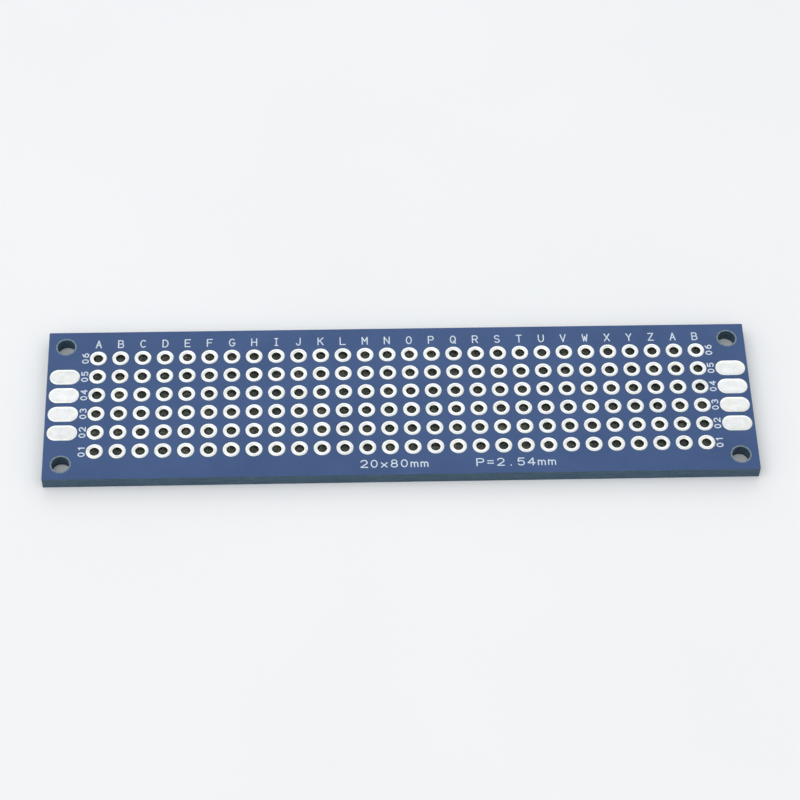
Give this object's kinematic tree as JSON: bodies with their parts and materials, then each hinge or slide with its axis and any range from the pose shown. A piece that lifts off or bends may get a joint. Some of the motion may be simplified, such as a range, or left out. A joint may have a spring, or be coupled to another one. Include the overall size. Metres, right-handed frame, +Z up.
{
  "type": "prototype board",
  "caption": "Flat double-sided prototype board with a grid of plated through-holes, long solder pads at both ends, corner mounting holes and a printed grid index.",
  "frame": {"origin": "centre of the board's outline, on the plane of the lower pads that it lies on", "axes": "+X along the board's length, +Y towards the long edge with the column letters, +Z up out of the face with the marks"},
  "size_m": [0.08, 0.02, 0.0016],
  "materials": {
    "laminate": "sawn glass-epoxy, pale and slightly translucent, with layered fibre at the edge",
    "solder_mask": "blue liquid solder mask, satin gloss with a faint weave",
    "tin": "bright hot-levelled tin, slightly pillowed",
    "ink": "white screen-printed ink"
  },
  "bodies": {
    "root": {"laminate": "laminate", "solder_mask_top": "solder_mask", "solder_mask_bottom": "solder_mask", "plated_holes_row_1": "tin", "plated_holes_row_2": "tin", "plated_holes_row_3": "tin", "plated_holes_row_4": "tin", "plated_holes_row_5": "tin", "plated_holes_row_6": "tin", "end_pad_left_top_1": "tin", "end_pad_left_top_2": "tin", "end_pad_left_top_3": "tin", "end_pad_left_top_4": "tin", "end_pad_left_bottom_1": "tin", "end_pad_left_bottom_2": "tin", "end_pad_left_bottom_3": "tin", "end_pad_left_bottom_4": "tin", "end_pad_right_top_1": "tin", "end_pad_right_top_2": "tin", "end_pad_right_top_3": "tin", "end_pad_right_top_4": "tin", "end_pad_right_bottom_1": "tin", "end_pad_right_bottom_2": "tin", "end_pad_right_bottom_3": "tin", "end_pad_right_bottom_4": "tin", "column_letters_top": "ink", "column_letters_bottom": "ink", "row_numbers_left_top": "ink", "row_numbers_left_bottom": "ink", "row_numbers_right_top": "ink", "row_numbers_right_bottom": "ink", "size_mark": "ink", "pitch_mark": "ink"}
  },
  "joints": []
}
